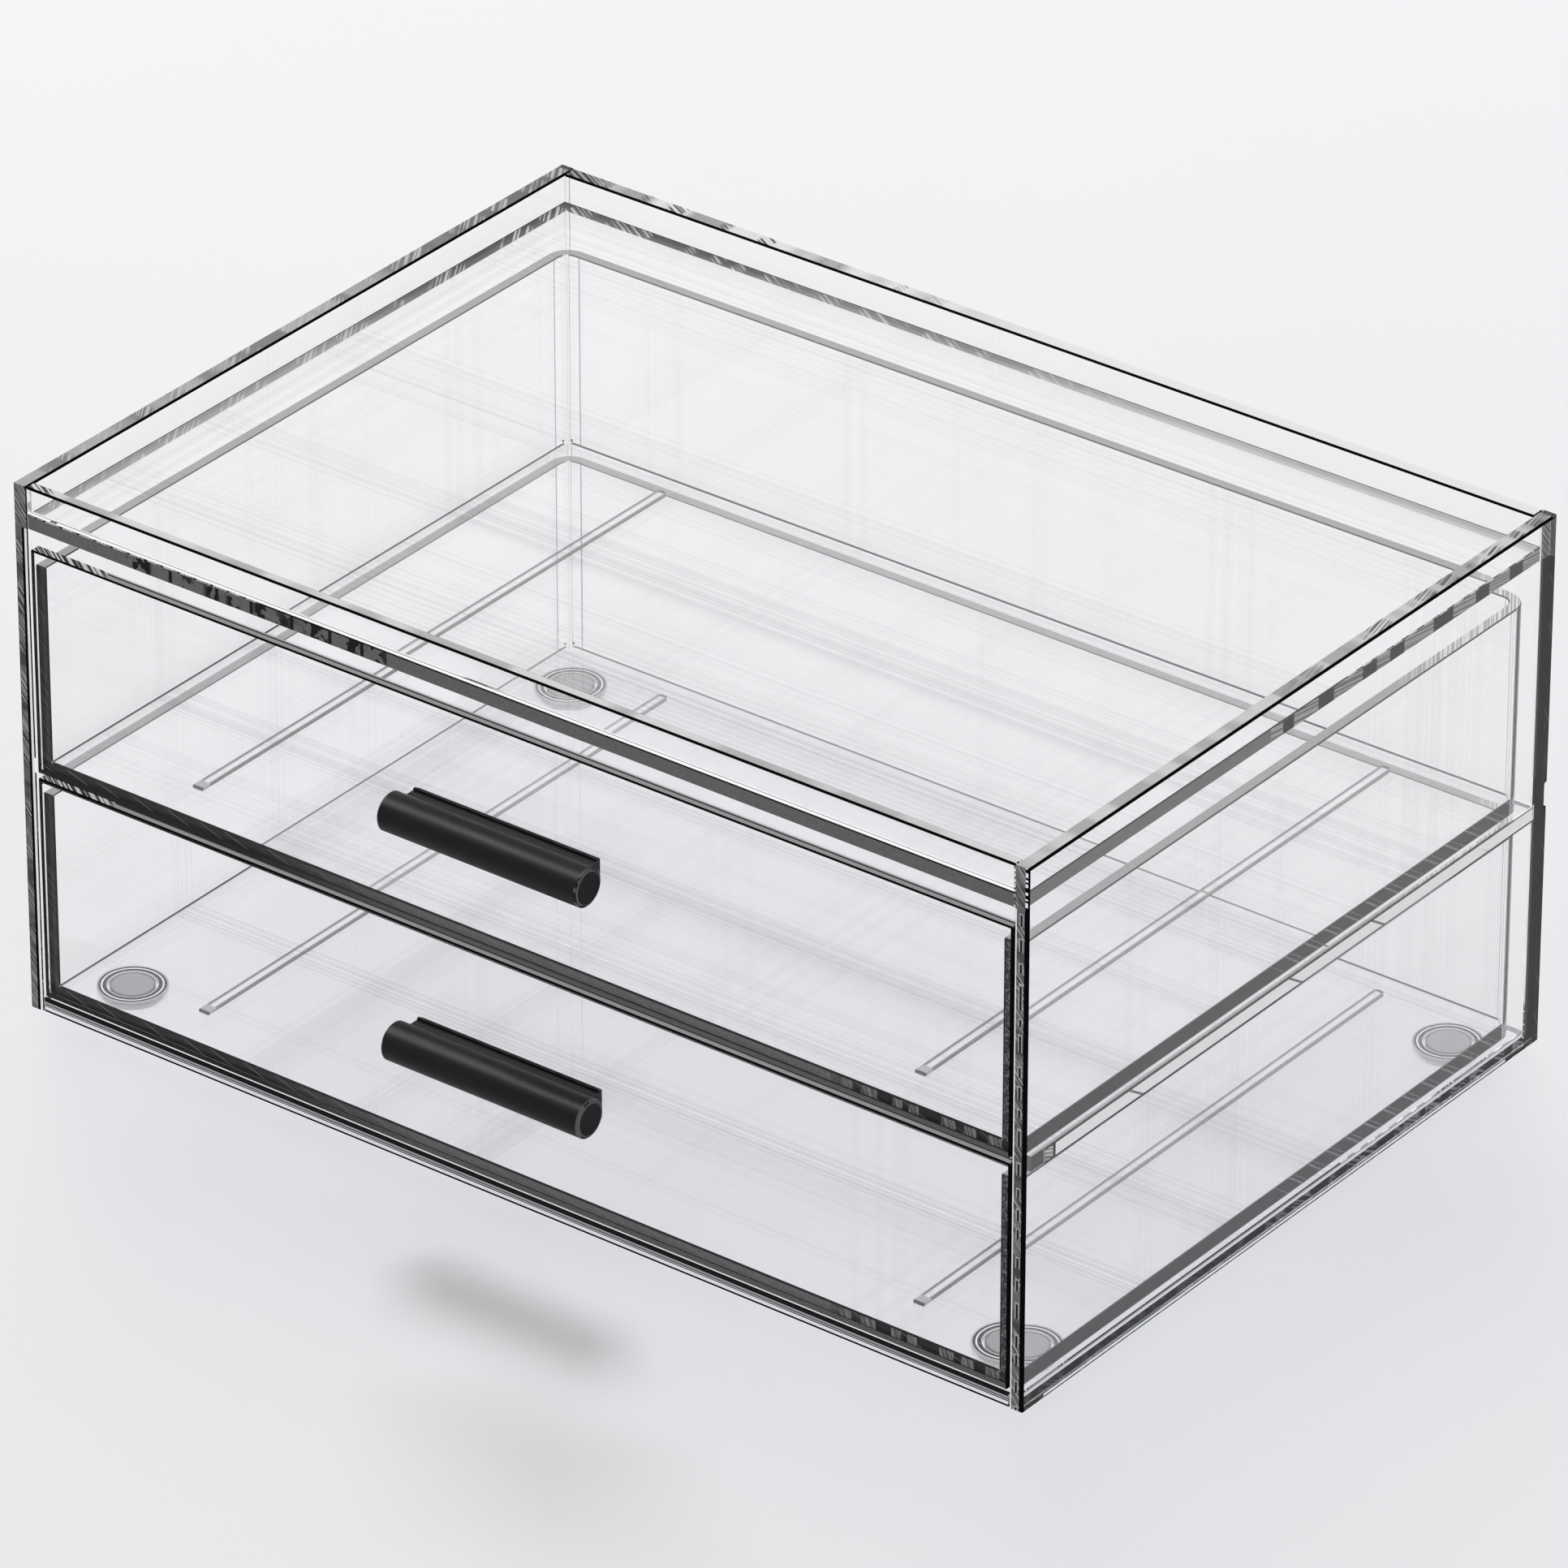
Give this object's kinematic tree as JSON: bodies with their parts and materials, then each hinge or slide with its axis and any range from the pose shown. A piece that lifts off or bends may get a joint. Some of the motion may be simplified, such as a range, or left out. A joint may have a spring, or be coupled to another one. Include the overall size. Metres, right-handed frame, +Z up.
{
  "type": "clear desktop organiser with drawers",
  "caption": "Clear acrylic box with two full-width pull-out drawers, a rimmed open tray on top and short black bar handles, for cosmetics or jewellery.",
  "frame": {"origin": "on the ground under the middle of the overall footprint, handles included", "axes": "+Z up, +X to the right as seen from the front, the drawers open towards -Y"},
  "size_m": [0.3, 0.2228, 0.1474],
  "materials": {
    "clear_sheet": "clear polished acrylic sheet with sawn and scraped edges",
    "clear_tray": "clear polished formed acrylic",
    "clear_bumper": "clear soft bumper",
    "adhesive_disc": "frosted grey adhesive disc",
    "black_aluminium": "black satin anodised",
    "black_cap": "black matt plastic",
    "foam_tape": "black foam tape",
    "screw_steel": "zinc plated"
  },
  "bodies": {
    "case": {"case_left_side": "clear_sheet", "case_right_side": "clear_sheet", "case_back_panel": "clear_sheet", "case_floor_panel": "clear_sheet", "case_mid_shelf": "clear_sheet", "case_top_panel": "clear_sheet", "case_front_rim": "clear_sheet", "foot_front_left": "clear_bumper", "foot_front_right": "clear_bumper", "foot_rear_left": "clear_bumper", "foot_rear_right": "clear_bumper", "foot_pad_front_left": "adhesive_disc", "foot_pad_front_right": "adhesive_disc", "foot_pad_rear_left": "adhesive_disc", "foot_pad_rear_right": "adhesive_disc"},
    "upper_drawer": {"upper_drawer_front": "clear_sheet", "upper_drawer_tray": "clear_tray", "upper_slide_strip_left": "clear_tray", "upper_slide_strip_right": "clear_tray", "upper_handle_bar": "black_aluminium", "upper_handle_rail": "black_aluminium", "upper_handle_tape": "foam_tape", "upper_handle_cap_left": "black_cap", "upper_handle_cap_right": "black_cap", "upper_handle_screws": "screw_steel"},
    "lower_drawer": {"lower_drawer_front": "clear_sheet", "lower_drawer_tray": "clear_tray", "lower_slide_strip_left": "clear_tray", "lower_slide_strip_right": "clear_tray", "lower_handle_bar": "black_aluminium", "lower_handle_rail": "black_aluminium", "lower_handle_tape": "foam_tape", "lower_handle_cap_left": "black_cap", "lower_handle_cap_right": "black_cap", "lower_handle_screws": "screw_steel"}
  },
  "joints": [
    {"name": "upper_drawer_slide", "type": "slide", "parent": "case", "child": "upper_drawer", "axis": [0, -1, 0], "range_m": [0, 0.17]},
    {"name": "lower_drawer_slide", "type": "slide", "parent": "case", "child": "lower_drawer", "axis": [0, -1, 0], "range_m": [0, 0.17]}
  ]
}
